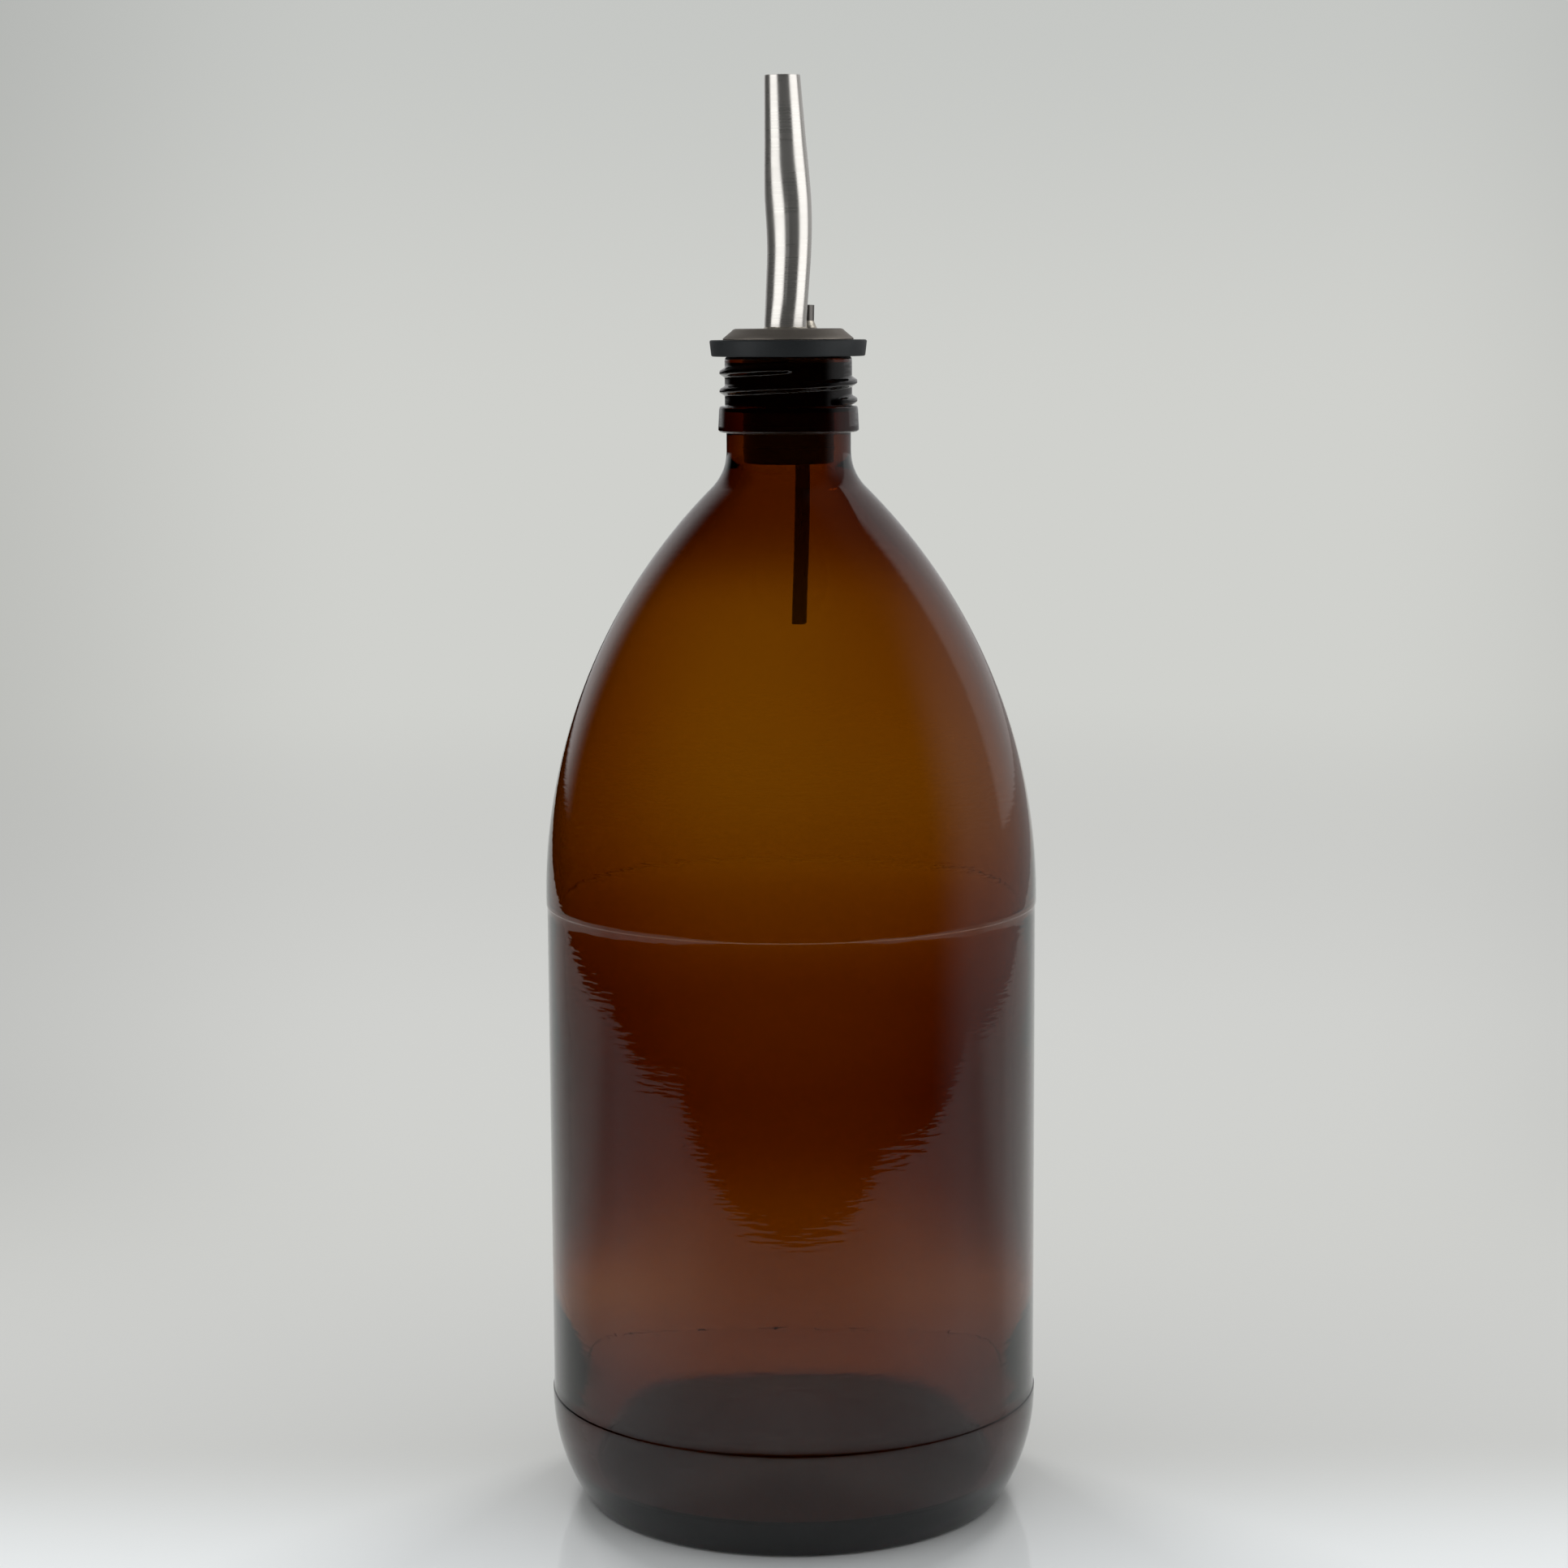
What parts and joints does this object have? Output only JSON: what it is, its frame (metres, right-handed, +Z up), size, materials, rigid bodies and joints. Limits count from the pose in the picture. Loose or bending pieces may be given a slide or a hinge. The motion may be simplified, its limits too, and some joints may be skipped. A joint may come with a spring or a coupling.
{
  "type": "glass oil bottle",
  "caption": "Round amber glass oil bottle with a domed shoulder, a threaded neck and a push-in rubber stopper that carries a steel pouring spout with a breather tube.",
  "frame": {"origin": "centre of the base, on the plane that the bottle stands on", "axes": "+Z up along the bottle's axis, -Y towards the front, where the spout leans"},
  "size_m": [0.0984, 0.0984, 0.2847],
  "materials": {
    "amber_glass": "smooth moulded amber glass",
    "black_rubber": "matt moulded",
    "stainless_steel": "polished stainless steel",
    "braze_metal": "smoothed braze"
  },
  "bodies": {
    "bottle": {"glass_base": "amber_glass", "glass_panel": "amber_glass", "glass_shoulder": "amber_glass", "glass_neck": "amber_glass"},
    "stopper": {"stopper": "black_rubber"},
    "pourer": {"stem_sleeve": "stainless_steel", "collar_disc": "stainless_steel", "spout_tube": "stainless_steel", "breather_tube": "stainless_steel", "braze": "braze_metal"}
  },
  "joints": [
    {"name": "stopper_pull", "type": "slide", "parent": "bottle", "child": "stopper", "axis": [0, 0, 1], "range_m": [0, 0.06]},
    {"name": "pourer_turn", "type": "hinge", "parent": "stopper", "child": "pourer", "pos_m": [0, 0, 0.2306], "axis": [0, 0, 1], "continuous": true}
  ]
}
